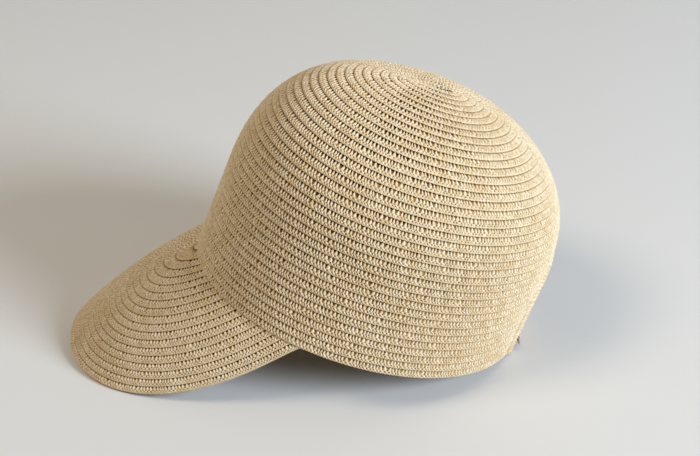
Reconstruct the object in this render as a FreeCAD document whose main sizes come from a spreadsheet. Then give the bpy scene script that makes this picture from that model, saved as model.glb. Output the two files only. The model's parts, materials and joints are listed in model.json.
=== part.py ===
import FreeCAD, Part
import Sketcher
import math
import os

from FreeCAD import Placement, Rotation, Vector

# A straw jockey cap of sewn paper braid.
#
# The hat's own frame: X to the wearer's left, Y to the back, Z up the crown's axis, and the origin at
# the middle of the rim. Every piece is shaped in that frame. At the end the whole cap is laid down as
# it rests on a table, on its visor and the two back corners of the rim, with the origin under the
# middle of its bounding box.
#
# "Inset" is a distance inwards from the crown's outer face. A negative inset is outside the crown.

SIZES = (
    # alias, value in millimetres, degrees or a plain ratio, what it is
    ("crown_length", 204.0, "outside of the rim, front to back"),
    ("crown_width", 172.0, "outside of the rim, side to side"),
    ("crown_height", 140.0, "rim to tip along the crown's axis"),
    ("wall", 2.0, "braid where two rows overlap"),
    ("row_pitch", 4.95, "one row of braid to the next"),
    ("row_step", 0.6, "how far a row's lower edge stands over the row below"),
    ("tip_length", 20.0, "first straight fold of the braid at the tip"),
    ("front_straight", 54.0, "height up to which the front wall is straight"),
    ("back_straight", 48.0, "the same at the back"),
    ("side_straight", 64.0, "the same at the sides"),
    ("front_round", 2.36, "fullness of the dome at the front"),
    ("back_round", 1.61, "the same at the back"),
    ("side_round", 1.9, "the same at the sides"),
    ("dome_power", 2.6, "how suddenly the wall turns into the dome"),
    ("front_lean", -0.08, "share by which the front wall leans in"),
    ("back_lean", 0.015, "the same at the back"),
    ("side_lean", -0.11, "the same at the sides"),
    ("visor_length", 102.0, "seam to edge at the middle of the front"),
    ("visor_spread", 68.0, "angle from the front to each end of the visor"),
    ("visor_slope", 53.6, "fall of the visor below the rim at the front"),
    ("visor_end_slope", 82.3, "the same at the ends"),
    ("visor_slope_power", 2.34, "how late the fall steepens towards the ends"),
    ("visor_fan", 0.45, "how far the visor's lines fan out"),
    ("visor_arch", 4.8, "rise of the visor over a straight line, seam to edge"),
    ("visor_edge_power", 3.06, "squareness of the visor's outline"),
    ("visor_edge_round", 0.72, "hollow of the outline where it meets the crown"),
    ("visor_thickness", 1.7, "sewn braid of the visor"),
    ("seam_gap", 0.15, "between the visor and the rim that it is sewn under"),
    ("arch_width", 66.0, "opening at the back, across the rim"),
    ("arch_height", 60.0, "rim to the top of the opening"),
    ("binding_width", 6.0, "row of braid sewn round the opening"),
    ("binding_thickness", 1.3, "thickness of that row"),
    ("sweatband_width", 26.0, "ribbon inside the rim"),
    ("sweatband_thickness", 0.9, "the same ribbon, folded double"),
    ("sweatband_rise", 1.5, "rim to the ribbon's lower edge"),
    ("strap_width", 17.0, "both halves of the strap"),
    ("strap_thickness", 1.4, "both halves of the strap"),
    ("strap_rise", 3.0, "rim to the strap's lower edge"),
    ("strap_sewn", 11.0, "angle from the opening to the sewn end of a strap"),
    ("strap_free", 4.0, "angle at the opening's edge over which a strap turns upright"),
    ("fold_inset", 3.5, "fold line of the long half from the edge of the binding"),
    ("strap_shift", 9.5, "angle over which the long half comes out past the short one"),
    ("strap_overlap", 22.0, "angle over which the two halves lie on each other"),
    ("strap_tail", 7.4, "angle of the long half's free tip"),
    ("tail_lift", 3.5, "how far the free tip stands off"),
    ("patch_thickness", 1.0, "hook patch and loop patch, each"),
    ("patch_margin", 1.5, "leather left round a patch"),
    ("tip_round", 0.2, "rounding of a strap's free corners, as a share of its width"),
    ("clearance", 0.3, "between pieces that lie beside each other"),
    ("stitch_length", 3.6, "one stitch of the ribbon"),
    ("stitch_spacing", 7.2, "one stitch to the next"),
    ("thread", 0.5, "thickness of the sewing thread"),
)

doc = FreeCAD.newDocument("straw_jockey_cap")
sheet = doc.addObject("Spreadsheet::Sheet", "sizes")
for line, (alias, value, meaning) in enumerate(SIZES, start=1):
    sheet.set(f"A{line}", meaning)
    sheet.set(f"B{line}", str(value))
    sheet.setAlias(f"B{line}", alias)
doc.recompute()


def size(alias):
    return float(getattr(sheet, alias))


# ---------------------------------------------------------------- crown surface
POINTS_PER_RING = 12
POINTS_UP = 120
TIP_LEFT = 0.4  # share of the last row that the tip's flat fold fills
FLAT_TOP = 0.998  # share of a dome's height at which its last ring is closed
HAIR = 0.08  # between faces that touch in the real cap
STITCH_GAP = 2.0 * HAIR  # under a straight stitch on the curved ribbon


def reach(half, straight, fullness, lean, height, full_height):
    """Distance from the crown's axis to its wall at one height, before the tip is added."""
    rise = max(0.0, (height - straight) / (full_height - straight))
    dome = max(0.0, 1.0 - rise ** size("dome_power")) ** (1.0 / fullness)
    return half * (1.0 + lean * height / full_height) * dome


def crown_point(angle, height, inset):
    """Point of the crown's surface. The angle is 0 at the back and grows towards the left."""
    top = size("crown_height") - inset
    level = min(height, top)
    tip = size("tip_length") / 2.0
    half = size("crown_length") / 2.0 - inset - tip
    front = tip + reach(half, size("front_straight"), size("front_round"), size("front_lean"), level, top)
    back = tip + reach(half, size("back_straight"), size("back_round"), size("back_lean"), level, top)
    width = size("crown_width") / 2.0 - inset
    side = reach(width, size("side_straight"), size("side_round"), size("side_lean"), level, top)
    middle = (back - front) / 2.0
    along = (back + front) / 2.0
    return Vector(side * math.sin(angle), middle + along * math.cos(angle), level)


def closed_curve(points):
    """A ring whose parameter runs evenly with the points, so that lofts rule straight up."""
    curve = Part.BSplineCurve()
    curve.interpolate(Points=points, PeriodicFlag=True, Parameters=[float(i) for i in range(len(points) + 1)])
    return Part.Wire(curve.toShape())


def open_curve(points):
    """The same, for a line that doesn't close."""
    curve = Part.BSplineCurve()
    curve.interpolate(Points=points, Parameters=[float(index) for index in range(len(points))])
    return curve.toShape()


def round_angles(count):
    return [2.0 * math.pi * step / count for step in range(count)]


def level_ring(height, inset):
    return closed_curve([crown_point(angle, height, inset) for angle in round_angles(POINTS_PER_RING)])


def meridian(angle, inset):
    """Points from the rim to the tip, with the length of wall below each."""
    top = size("crown_height") - inset
    steps = [math.sin(0.5 * math.pi * step / POINTS_UP) for step in range(POINTS_UP + 1)]
    points = [crown_point(angle, top * step, inset) for step in steps]
    lengths = [0.0]
    for below, above in zip(points, points[1:]):
        lengths.append(lengths[-1] + below.distanceToPoint(above))
    return points, lengths


def along_meridian(line, share):
    """Point at a share of the way from rim to tip, measured along the wall."""
    points, lengths = line
    target = share * lengths[-1]
    for index in range(1, len(points)):
        if lengths[index] >= target:
            part = (target - lengths[index - 1]) / (lengths[index] - lengths[index - 1])
            return points[index - 1] + (points[index] - points[index - 1]) * part
    return points[-1]


def smooth(value):
    """0 below 0, 1 above 1, and an even S between."""
    value = min(1.0, max(0.0, value))
    return value * value * (3.0 - 2.0 * value)


# ---------------------------------------------------------------- crown_braid
def stepped_dome():
    """The crown's outside: one row over the next, like shingles, from the rim to the tip."""
    lines_flush = [meridian(angle, 0.0) for angle in round_angles(POINTS_PER_RING)]
    lines_proud = [meridian(angle, -size("row_step")) for angle in round_angles(POINTS_PER_RING)]
    rows = max(3, round(lines_flush[0][1][-1] / size("row_pitch")))
    rings = []
    for row in range(rows):
        low = row / rows
        high = (row + 1) / rows
        edge = [along_meridian(line, low) for line in lines_proud]
        under = [along_meridian(line, high) for line in lines_flush]
        if row == rows - 1:
            under = [along_meridian(line, 1.0 - TIP_LEFT / rows) for line in lines_flush]
            top = sum(point.z for point in under) / len(under)
            under = [Vector(point.x, point.y, top) for point in under]
        rings.append(closed_curve(edge))
        rings.append(closed_curve(under))
    return Part.makeLoft(rings, True, True)


def smooth_dome(inset, full_height, count=11, below=20.0):
    """The crown's surface without its rows, as a solid that starts at or below the rim."""
    levels = [full_height * math.sin(0.5 * math.pi * step / count) for step in range(count)]
    levels.append(full_height * FLAT_TOP)
    rings = [level_ring(level, inset) for level in levels]
    if below > 0.0:
        foot = level_ring(0.0, inset)
        foot.translate(Vector(0, 0, -below))
        rings.insert(0, foot)
    return Part.makeLoft(rings, True, True)


def feature(name, shape):
    piece = doc.addObject("Part::Feature", name)
    piece.Shape = shape
    return piece


def arch_outline(name, offset):
    """The opening's outline, a round arch on straight sides, grown by an offset."""
    sketch = doc.addObject("Sketcher::SketchObject", name)
    sketch.Placement = Placement(Vector(0, 0, 0), Rotation(Vector(1, 0, 0), 90))
    half = size("arch_width") / 2.0 + offset
    spring = size("arch_height") - size("arch_width") / 2.0
    foot = 2.0 * size("binding_width")
    left = sketch.addGeometry(Part.LineSegment(Vector(half, -foot, 0), Vector(half, spring, 0)))
    circle = Part.Circle(Vector(0, spring, 0), Vector(0, 0, 1), half)
    bow = sketch.addGeometry(Part.ArcOfCircle(circle, 0.0, math.pi))
    right = sketch.addGeometry(Part.LineSegment(Vector(-half, spring, 0), Vector(-half, -foot, 0)))
    sill = sketch.addGeometry(Part.LineSegment(Vector(-half, -foot, 0), Vector(half, -foot, 0)))
    rule = Sketcher.Constraint
    sketch.addConstraint(rule("Tangent", left, 2, bow, 1))
    sketch.addConstraint(rule("Tangent", bow, 2, right, 1))
    sketch.addConstraint(rule("Coincident", right, 2, sill, 1))
    sketch.addConstraint(rule("Coincident", sill, 2, left, 1))
    sketch.addConstraint(rule("Vertical", left))
    sketch.addConstraint(rule("Horizontal", sill))
    sketch.addConstraint(rule("PointOnObject", bow, 3, -2))
    for label, constraint, formula in (
        ("radius", rule("Radius", bow, half), f"sizes.arch_width / 2 + {offset}"),
        ("spring", rule("DistanceY", -1, 1, bow, 3, spring), "sizes.arch_height - sizes.arch_width / 2"),
        ("foot", rule("DistanceY", sill, 1, -1, 1, foot), "sizes.binding_width * 2"),
    ):
        index = sketch.addConstraint(constraint)
        sketch.renameConstraint(index, label)
        sketch.setExpression(f"Constraints.{label}", formula)
    return sketch


def arch_block(name, offset):
    """The outline run out through the back of the crown."""
    block = doc.addObject("Part::Extrusion", name)
    block.Base = arch_outline(name + "_outline", offset)
    block.DirMode = "Custom"
    block.Dir = Vector(0, 1, 0)
    block.Solid = True
    block.LengthFwd = 1.0
    block.setExpression("LengthFwd", "sizes.crown_length")
    return block


def boolean(kind, name, base, tool):
    result = doc.addObject(kind, name)
    result.Base = base
    result.Tool = tool
    return result


def crown_braid():
    outside = feature("crown_outside", stepped_dome())
    inside = feature("crown_inside", smooth_dome(size("wall"), size("crown_height") - size("wall")))
    hollow = boolean("Part::Cut", "crown_hollow", outside, inside)
    return boolean("Part::Cut", "crown_braid", hollow, arch_block("arch_opening", 0.0))


# ---------------------------------------------------------------- arch_binding
def binding_seat():
    """Inset of the faces of the rows that the binding lies on."""
    return -size("row_step") - size("seam_gap")


def arch_binding():
    """One row of braid sewn flat round the opening, with its edge turned in over the cut wall."""
    lip = size("binding_thickness")
    face = binding_seat()
    tall = size("arch_height") + 3.0 * size("binding_width")
    cover = feature("binding_cover", smooth_dome(face - size("binding_thickness"), tall, 7, 0.0))
    crown = feature("binding_seat", smooth_dome(face, tall, 7))
    inside = feature("binding_inside", smooth_dome(size("wall"), tall, 7))
    outer = arch_block("binding_outer", size("binding_width"))
    inner = arch_block("binding_inner", -lip)
    lip_block = arch_block("binding_lip", -size("seam_gap"))
    band = boolean("Part::Cut", "binding_band", outer, inner)
    flat = boolean("Part::Common", "binding_flat", band, cover)
    seat = boolean("Part::Cut", "binding_seat_walled", crown, lip_block)
    seated = boolean("Part::Cut", "binding_seated", flat, seat)
    return boolean("Part::Cut", "arch_binding", seated, inside)


# ---------------------------------------------------------------- visor_braid
POINTS_ACROSS = 9
EDGE_ROW_END = 0.985  # share of its half at which the visor's outermost row ends


def visor_reach(share):
    """Length of the visor on the line at a share of the way from its middle to its end."""
    hollow = max(0.0, 1.0 - abs(share) ** size("visor_edge_power"))
    return size("visor_length") * hollow ** (1.0 / size("visor_edge_round"))


def visor_share(length):
    """The share at which the visor is this long."""
    left = max(0.0, 1.0 - (length / size("visor_length")) ** size("visor_edge_round"))
    return left ** (1.0 / size("visor_edge_power"))


def visor_point(share, from_edge, depth):
    """Point of the visor a distance in from its edge, and a depth under its top face."""
    angle = share * math.radians(size("visor_spread"))
    full = visor_reach(share)
    run = max(0.0, full - from_edge)
    turn = size("visor_end_slope") - size("visor_slope")
    fall = math.radians(size("visor_slope") + turn * abs(share) ** size("visor_slope_power"))
    fan = size("visor_fan") * angle
    outward = Vector(math.sin(fan), -math.cos(fan), 0)
    line = outward * math.cos(fall) - Vector(0, 0, math.sin(fall))
    up = outward * math.sin(fall) + Vector(0, 0, math.cos(fall))
    seat = crown_point(math.pi - angle, 0.0, size("wall") / 4.0) - Vector(0, 0, size("seam_gap"))
    part = run / full if full > 0.0 else 0.0
    swell = 4.0 * part * (1.0 - part) * size("visor_arch") * full / size("visor_length")
    return seat + line * run + up * (swell - depth)


def visor_line(end_share, from_edge, depth, proud=0.0):
    """One row's edge, from end to end. It rises over the next row, but not at its sewn ends."""
    points = []
    for step in range(POINTS_ACROSS):
        across = 2.0 * step / (POINTS_ACROSS - 1) - 1.0
        rise = proud * (1.0 - across ** 8)
        points.append(visor_point(across * end_share, from_edge, depth - rise))
    return open_curve(points)


def visor_braid():
    """Nested rows of braid that run parallel to the visor's edge and end under the rim."""
    rows = max(2, round(size("visor_length") / size("row_pitch")))
    pitch = size("visor_length") / rows
    ends = [visor_share(row * pitch) if row else EDGE_ROW_END for row in range(rows)]
    ends.append(0.5 * ends[-1])
    thick = size("visor_thickness")
    faces = []
    for row in range(rows):
        inner_edge = (row + 1) * pitch
        top_low = visor_line(ends[row], row * pitch, 0.0, size("row_step"))
        top_high = visor_line(ends[row + 1], inner_edge, 0.0)
        under_low = visor_line(ends[row], row * pitch, thick)
        under_high = visor_line(ends[row + 1], inner_edge, thick)
        faces.append(Part.makeRuledSurface(top_low, top_high))
        faces.append(Part.makeRuledSurface(under_low, under_high))
        if row:
            faces.append(Part.makeRuledSurface(last_high, top_low))
        else:
            faces.append(Part.makeRuledSurface(top_low, under_low))
        for end in (0, -1):
            sewn_top = Part.makeLine(top_low.Vertexes[end].Point, top_high.Vertexes[end].Point)
            sewn_under = Part.makeLine(under_low.Vertexes[end].Point, under_high.Vertexes[end].Point)
            faces.append(Part.makeRuledSurface(sewn_top, sewn_under))
        last_high = top_high
    faces.append(Part.makeRuledSurface(top_high, under_high))
    shell = Part.makeShell(faces)
    shell.sewShape()
    solid = Part.makeSolid(shell)
    if solid.Volume < 0.0:
        solid.reverse()
    return feature("visor_braid", solid)


# ---------------------------------------------------------------- bands that follow the rim
SPAN = math.radians(2.5)


def band(start, end, low, high, outer, inner):
    """A strip between two angles and two heights. outer and inner give a point of each face."""
    steps = max(3, round((end - start) / SPAN))
    wires = []
    for height in (low, high):
        angles = [start + (end - start) * step / steps for step in range(steps + 1)]
        away = [outer(angle, height) for angle in angles]
        near = [inner(angle, height) for angle in reversed(angles)]
        edges = [
            open_curve(away),
            Part.makeLine(away[-1], near[0]),
            open_curve(near),
            Part.makeLine(near[-1], away[0]),
        ]
        wires.append(Part.Wire(edges))
    return Part.makeLoft(wires, True, True)


def angle_at(half_width):
    """The angle from the back at which the rim is this far from the middle."""
    return math.asin(half_width / (size("crown_width") / 2.0))


def rest_tilt():
    """Angle of the rim when the cap lies on its visor and the opening's two back corners."""
    corner_angle = angle_at(size("arch_width") / 2.0 - size("binding_thickness"))
    corner = crown_point(corner_angle, 0.0, binding_seat() - size("binding_thickness"))
    tilt = 0.0
    for _ in range(8):
        edge = [visor_point(step / 40.0, 0.0, size("visor_thickness")) for step in range(41)]
        lowest = min(edge, key=lambda point: point.z * math.cos(tilt) - point.y * math.sin(tilt))
        tilt = math.atan2(corner.z - lowest.z, corner.y - lowest.y)
    return tilt


SEAT = size("wall") + size("clearance")
ARCH_EDGE = angle_at(size("arch_width") / 2.0)
SEWN_END = ARCH_EDGE + math.radians(size("strap_sewn"))
FOLD = angle_at(size("arch_width") / 2.0 - size("binding_thickness") - size("fold_inset"))
FOLD_GAP = math.radians(0.06)
RIBBON_EASE = math.radians(6.0)
TILT = rest_tilt()
STRAP_LOW = size("strap_rise")
STRAP_HIGH = STRAP_LOW + size("strap_width")


def sweatband_seat(angle):
    """The ribbon lies on the crown, and bows in over the sewn ends of the strap."""
    from_back = min(angle, 2.0 * math.pi - angle)
    over_strap = 1.0 - smooth((from_back - SEWN_END) / RIBBON_EASE)
    return SEAT + over_strap * (size("strap_thickness") + size("clearance"))


def ribbon_face(angle):
    """Inset of the ribbon's inner face."""
    return sweatband_seat(angle) + size("sweatband_thickness")


def sweatband():
    """The ribbon sewn inside the rim, from one side of the opening round the front to the other."""
    start = ARCH_EDGE + math.radians(size("strap_free") + 0.5)
    low = size("sweatband_rise")
    return feature("sweatband", band(
        start, 2.0 * math.pi - start, low, low + size("sweatband_width"),
        lambda angle, height: crown_point(angle, height, sweatband_seat(angle)),
        lambda angle, height: crown_point(angle, height, ribbon_face(angle)),
    ))


def strap_point(angle, height, inset):
    """On the crown where a strap is sewn, and on an upright line where it crosses the opening."""
    free = 1.0 - smooth((abs(angle) - FOLD) / (ARCH_EDGE + math.radians(size("strap_free")) - FOLD))
    foot = crown_point(angle, STRAP_LOW, inset)
    rise = height - STRAP_LOW
    upright = foot + Vector(0, -rise * math.tan(TILT), rise)
    return crown_point(angle, height, inset) * (1.0 - free) + upright * free


def short_face(angle):
    """Inset of the outer face of the half of the strap that is sewn on the left."""
    return SEAT


LONG_SHIFT = 2.0 * (size("patch_thickness") + HAIR) + size("strap_thickness") + size("clearance")
OVERLAP_START = -FOLD + math.radians(size("strap_shift"))
OVERLAP_END = OVERLAP_START + math.radians(size("strap_overlap"))
TAIL_END = OVERLAP_END + math.radians(size("strap_tail"))


def long_face(angle):
    """The same for the half that is sewn on the right and closes over the short one."""
    out = smooth((angle + FOLD) / math.radians(size("strap_shift"))) * LONG_SHIFT
    tail = smooth((angle - OVERLAP_END) / (TAIL_END - OVERLAP_END)) * size("tail_lift")
    return SEAT - out - tail


def strap_layer(start, end, low, high, face, depth, thick):
    """A layer of the strap, its outer face at a depth under the given face."""
    return band(
        start, end, low, high,
        lambda angle, height: strap_point(angle, height, face(angle) + depth),
        lambda angle, height: strap_point(angle, height, face(angle) + depth + thick),
    )


def strap_piece(name, start, end, face):
    return feature(name, strap_layer(start, end, STRAP_LOW, STRAP_HIGH, face, 0.0, size("strap_thickness")))


def rounded_tip(name, strip, side):
    """Cut the free end of a strap round, as the leather is cut. side is 1 for a tip on the left."""
    box = strip.Shape.optimalBoundingBox(False, False)
    tip = box.XMax if side > 0.0 else -box.XMin
    block = Part.makeBox(
        tip + size("crown_width"), size("crown_length"), size("strap_width"),
        Vector(-size("crown_width"), 0, STRAP_LOW),
    )
    corners = [edge for edge in block.Edges if all(
        abs(vertex.X - tip) < 0.001 for vertex in edge.Vertexes) and abs(edge.tangentAt(0).y) > 0.5]
    block = block.makeFillet(size("tip_round") * size("strap_width"), corners)
    if side < 0.0:
        block = block.mirror(Vector(0, 0, 0), Vector(1, 0, 0))
    return feature(name, strip.Shape.common(block).Solids[0])


def patch(name, start, end, face, depth):
    margin = size("patch_margin")
    low = STRAP_LOW + margin
    high = STRAP_HIGH - margin
    return feature(name, strap_layer(start, end, low, high, face, depth, size("patch_thickness")))


def strap_pieces():
    step = math.radians(1.0)
    short_end = OVERLAP_START + step
    short = strap_piece("short_strap_sheet", short_end, SEWN_END, short_face)
    long = strap_piece("long_strap_sheet", -FOLD + FOLD_GAP, TAIL_END, long_face)
    root = strap_piece("strap_root", -SEWN_END, -FOLD - FOLD_GAP, short_face)
    patch_start = short_end + 1.5 * step
    patch_end = OVERLAP_END - 1.5 * step
    loops = patch("loop_patch", patch_start, patch_end, short_face, -size("patch_thickness") - HAIR)
    hooks = patch("hook_patch", patch_start, patch_end, long_face, size("strap_thickness") + HAIR)
    return [
        rounded_tip("short_strap", short, -1),
        rounded_tip("long_strap", long, 1),
        root, loops, hooks,
    ]


def stitches(name, places, face, upright_row):
    """Thread bars that lie on a face, along the rim or one above the other."""
    bars = []
    long = size("stitch_length")
    thread = size("thread")
    flat = 0.6 * thread
    for angle, level in places:
        seat = crown_point(angle, level, face(angle) + STITCH_GAP)
        ahead = crown_point(angle + 0.01, level, face(angle + 0.01) + STITCH_GAP) - seat
        turn = math.degrees(math.atan2(ahead.y, ahead.x))
        wide, tall = (thread, long) if upright_row else (long, thread)
        bar = Part.makeBox(wide, flat, tall, Vector(-wide / 2.0, -flat, -tall / 2.0))
        bar.rotate(Vector(0, 0, 0), Vector(0, 0, 1), turn)
        bar.translate(seat)
        bars.append(bar)
    return feature(name, Part.makeCompound(bars))


def sweatband_stitches():
    """The seam that holds the ribbon, seen on its inner face near the rim."""
    start = SEWN_END + RIBBON_EASE + math.radians(2.0)
    end = 2.0 * math.pi - start
    mean = 0.25 * (size("crown_length") + size("crown_width"))
    count = int((end - start) * mean / size("stitch_spacing"))
    height = size("sweatband_rise") + 3.0
    places = [(start + (end - start) * (index + 0.5) / count, height) for index in range(count)]
    return stitches("sweatband_stitches", places, ribbon_face, False)


def strap_stitches():
    """Two rows of stitches each side, through the crown, the strap's sewn end and the ribbon."""
    places = []
    count = int((size("strap_width") - 2.0) / (size("stitch_length") + 0.6))
    for side in (1.0, -1.0):
        for row in (0.5, 0.8):
            angle = ARCH_EDGE + math.radians(row * size("strap_sewn"))
            for index in range(count):
                height = STRAP_LOW + 1.0 + (index + 0.5) * (size("strap_width") - 2.0) / count
                places.append((angle if side > 0.0 else 2.0 * math.pi - angle, height))
    return stitches("strap_stitches", places, ribbon_face, True)


PIECES = [crown_braid(), visor_braid(), arch_binding(), sweatband(), sweatband_stitches()]
PIECES += strap_pieces()
PIECES.append(strap_stitches())

doc.recompute()
for piece in doc.Objects:
    if "Invalid" in piece.State or "Error" in piece.State:
        raise SystemExit(f"{piece.Name} failed: {piece.State}")
for piece in PIECES:
    if piece.Shape.isNull() or not piece.Shape.isValid():
        raise SystemExit(f"{piece.Label} has no valid shape")

# The cap laid down as it rests, over the middle of its bounding box.
lean = Rotation(Vector(1, 0, 0), -math.degrees(TILT))
tilted = [piece.Shape.copy() for piece in PIECES]
for shape in tilted:
    shape.Placement = Placement(Vector(0, 0, 0), lean).multiply(shape.Placement)
whole = Part.makeCompound(tilted).optimalBoundingBox(False, False)
stand = Placement(Vector(-whole.Center.x, -whole.Center.y, -whole.ZMin), lean)
print("rest tilt", round(math.degrees(TILT), 3), "rim centre at", stand.Base)
print("strap fold at", stand.multVec(strap_point(-FOLD, STRAP_LOW, SEAT)))

os.makedirs("parts", exist_ok=True)
for piece in PIECES:
    piece.Placement = stand.multiply(piece.Placement)
    shape = piece.Shape
    print(piece.Label, len(shape.Solids), round(shape.Volume, 1))
    shape.exportStep(f"parts/{piece.Label}.step")
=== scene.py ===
import bpy
import json
import math
import numpy as np
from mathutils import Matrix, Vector


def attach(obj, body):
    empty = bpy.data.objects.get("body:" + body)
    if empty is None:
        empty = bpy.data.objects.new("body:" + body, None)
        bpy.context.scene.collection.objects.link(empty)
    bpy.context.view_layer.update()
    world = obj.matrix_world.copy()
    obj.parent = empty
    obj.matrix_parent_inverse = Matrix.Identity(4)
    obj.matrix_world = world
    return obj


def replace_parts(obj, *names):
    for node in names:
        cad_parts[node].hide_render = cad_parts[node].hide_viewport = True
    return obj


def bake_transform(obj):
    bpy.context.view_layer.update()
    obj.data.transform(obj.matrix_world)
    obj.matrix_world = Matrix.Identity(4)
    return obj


# A straw jockey cap: one long paper braid sewn round and round into a crown and a visor, with a bound
# opening and a leather strap at the back. Lengths are in millimetres until toPart, and the hat's own
# frame is X to the wearer's left, Y to the back and Z up the crown, from the middle of the rim.
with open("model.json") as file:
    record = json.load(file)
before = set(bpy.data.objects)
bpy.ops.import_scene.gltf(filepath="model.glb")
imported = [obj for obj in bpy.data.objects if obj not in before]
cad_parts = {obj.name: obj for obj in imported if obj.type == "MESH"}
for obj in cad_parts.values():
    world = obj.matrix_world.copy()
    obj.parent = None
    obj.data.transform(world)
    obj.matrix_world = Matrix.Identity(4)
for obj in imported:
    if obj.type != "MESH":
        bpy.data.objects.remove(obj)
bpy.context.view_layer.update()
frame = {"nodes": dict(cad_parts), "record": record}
mm = 0.001
fullTurn = 2.0 * math.pi
rimMount = next(mount for mount in frame["record"]["mounts"] if mount["name"] == "rim")
lean = math.atan2(-rimMount["axis"][1], -rimMount["axis"][2])
rimCentre = np.array(rimMount["pos_m"])


def toPart(points):
    # From the hat's own frame to the part's, in metres.
    x, y, z = points[..., 0], points[..., 1], points[..., 2]
    back = y * math.cos(lean) + z * math.sin(lean)
    up = z * math.cos(lean) - y * math.sin(lean)
    return np.stack([x, back, up], -1) * mm + rimCentre


def smooth(value):
    value = np.clip(value, 0.0, 1.0)
    return value * value * (3.0 - 2.0 * value)


def fade(value, start, over):
    # 0 up to start, and 1 from start + over on. With over below 0 it runs the other way.
    return smooth((value - start) / over)


def runLength(points):
    steps = np.linalg.norm(np.diff(points, axis=0), axis=1)
    return np.concatenate([[0.0], np.cumsum(steps)])


# Meshes come from grids of points.
chartMargin = {"side": 0.004, "band": 0.02}


def addChart(mesh, faces, lines, columns, bands):
    # A picture map that cuts the columns into bands and lays one above the other.
    along = np.tile(np.arange(columns) / (columns - 1.0), lines)[faces]
    across = np.repeat(np.arange(lines) / (lines - 1.0), columns)[faces]
    band = np.minimum(np.floor(along.min(1, keepdims=True) * bands + 1e-6), bands - 1)
    u = chartMargin["side"] + (1.0 - 2.0 * chartMargin["side"]) * (along * bands - band)
    v = (band + chartMargin["band"] + (1.0 - 2.0 * chartMargin["band"]) * across) / bands
    chart = mesh.uv_layers.new(name="OFBake")
    chart.data.foreach_set("uv", np.stack([u, v], -1).reshape(-1).astype(np.float32))


def facesOutward(flat, faces):
    # The faces of a closed grid, turned round where they look inward.
    a, b, c, d = (flat[faces[:, side]] - flat.mean(0) for side in range(4))
    volume = (a * np.cross(b - a, d - a) + c * np.cross(d - c, b - c)).sum()
    return faces[:, ::-1] if volume < 0.0 else faces


def gridMesh(name, points, material, body=None, keep=None, values=None, bands=0, closed=False):
    # points is (several x) lines x columns x 3, in the part's frame. keep says which faces stay. values are
    # numbers at the points, for the material. bands asks for a picture map in so many bands.
    lines, columns = points.shape[-3:-1]
    numbers = np.arange(points.size // 3).reshape(-1, lines, columns)
    corners = [numbers[:, :-1, :-1], numbers[:, :-1, 1:], numbers[:, 1:, 1:], numbers[:, 1:, :-1]]
    faces = np.stack(corners, -1).reshape(-1, 4)
    flat = points.reshape(-1, 3)
    if closed:
        faces = facesOutward(flat, faces)
    if keep is not None:
        faces = faces[keep.reshape(-1)]
    used, corner = np.unique(faces, return_inverse=True)
    mesh = bpy.data.meshes.new(name)
    mesh.vertices.add(len(used))
    mesh.vertices.foreach_set("co", flat[used].reshape(-1).astype(np.float32))
    mesh.loops.add(faces.size)
    mesh.loops.foreach_set("vertex_index", corner.reshape(-1).astype(np.int32))
    mesh.polygons.add(len(faces))
    mesh.polygons.foreach_set("loop_start", np.arange(0, faces.size, 4, dtype=np.int32))
    mesh.update(calc_edges=True)
    mesh.polygons.foreach_set("use_smooth", np.ones(len(faces), bool))
    if bands:
        addChart(mesh, faces, lines, columns, bands)
    for kind, each in (values or {}).items():
        attribute = mesh.attributes.new(kind, "FLOAT", "POINT")
        attribute.data.foreach_set("value", each.reshape(-1)[used].astype(np.float32))
    mesh.materials.append(material)
    piece = bpy.data.objects.new(name, mesh)
    bpy.context.scene.collection.objects.link(piece)
    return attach(piece, body) if body else piece


# Materials. The scale of each pattern and the depth of each relief are worked out from real sizes.
def linear(hexColour):
    parts = [int(hexColour[i:i + 2], 16) / 255.0 for i in (1, 3, 5)]
    return [c / 12.92 if c <= 0.04045 else ((c + 0.055) / 1.055) ** 2.4 for c in parts] + [1.0]


def addNode(tree, kind, settings, inputs, output=0):
    # A node with its own settings and its inputs, each a plain value or the socket that it is joined to.
    # What comes back is one of its outputs.
    node = tree.nodes.new("ShaderNode" + kind)
    for key, value in settings.items():
        setattr(node, key, value)
    for key, value in inputs.items():
        if isinstance(value, bpy.types.NodeSocket):
            tree.links.new(value, node.inputs[key])
        else:
            node.inputs[key].default_value = value
    return node.outputs[output]


def newMaterial(name, look):
    material = bpy.data.materials.new(name)
    material.use_nodes = True
    tree = material.node_tree
    surface = tree.nodes["Principled BSDF"]
    surface.inputs["Roughness"].default_value = look["roughness"]
    surface.inputs["Specular IOR Level"].default_value = look["shine"]
    return material, tree, surface


# Settings that several materials share. A colour mix has its factor at input 0, its two colours at inputs 6
# and 7, and its result at output 2.
multiply = {"operation": "MULTIPLY"}
multiplyAdd = {"operation": "MULTIPLY_ADD"}
clampedMultiply = {"operation": "MULTIPLY", "use_clamp": True}
clampedMultiplyAdd = {"operation": "MULTIPLY_ADD", "use_clamp": True}
colours = {"data_type": "RGBA"}

paper = {
    # shade and hole are the colours of the painted shade: brown at half, dark at its deepest.
    "pale": "#f3e9d3", "warm": "#c0a474", "shade": "#a5834f", "hole": "#40260a",
    "roughness": 0.6, "shine": 0.3,
    "dull": 0.35,  # added to the roughness in the holes
    "fibre": {"Scale": 1.0 / (0.5 * mm), "Detail": 5.0},  # ridges of the yarn, drawn coarse enough to show
    "patch": {"Scale": 1.0 / (22.0 * mm), "Detail": 3.0},  # slow change of shade along the braid
    "fibreShare": 0.4, "patchShare": 0.35,  # what each of the two adds to the shade
    "bump": {"Strength": 0.5, "Distance": 0.12 * mm},
}


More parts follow.
